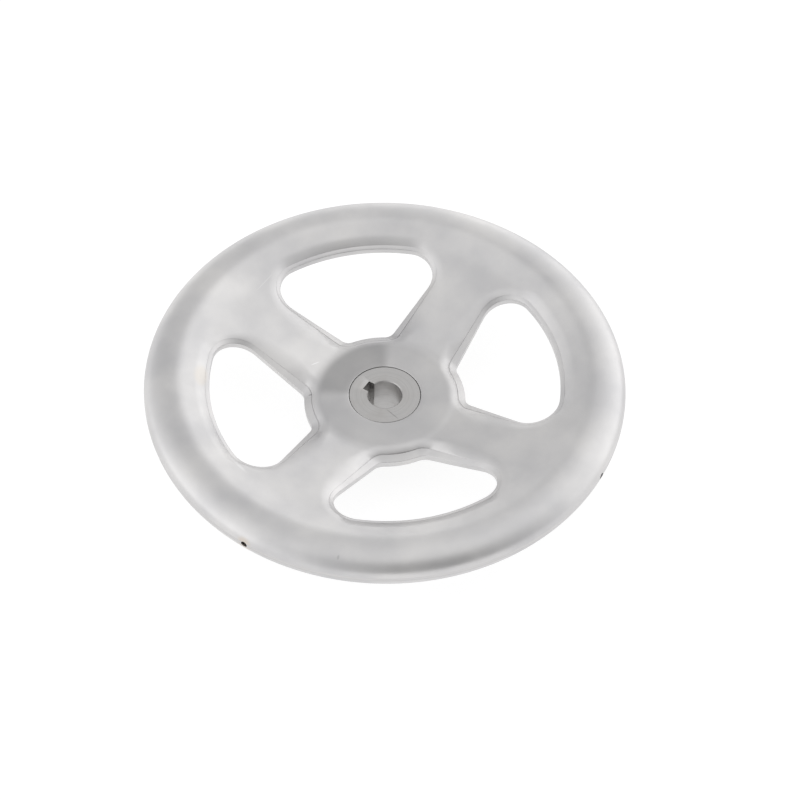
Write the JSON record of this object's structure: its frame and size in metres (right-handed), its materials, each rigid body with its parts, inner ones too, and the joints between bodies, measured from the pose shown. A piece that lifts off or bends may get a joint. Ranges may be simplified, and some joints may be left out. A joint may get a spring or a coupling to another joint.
{
  "type": "handwheel",
  "caption": "Dished round handwheel of pressed stainless sheet, hollow in rim and spokes, with a turned hub bush that has a plain bore and a keyway.",
  "frame": {"origin": "centre of the bore at the hub's lower face, which seats on the shaft's shoulder", "axes": "+Z along the bore axis towards the rim and the visible face, +Y through the keyway, spokes on X and Y"},
  "size_m": [0.25, 0.25, 0.0485],
  "materials": {
    "blasted_sheet": "fine glass-bead blasted stainless, satin",
    "turned_bush": "turned face, blasted with the shells, bore as machined",
    "ground_weld": "ground flush and blasted",
    "fillet_weld": "as welded, blasted"
  },
  "bodies": {
    "root": {"upper_shell": "blasted_sheet", "lower_shell": "blasted_sheet", "hub_bush": "turned_bush", "rim_weld": "ground_weld", "hub_weld": "fillet_weld"}
  },
  "joints": []
}
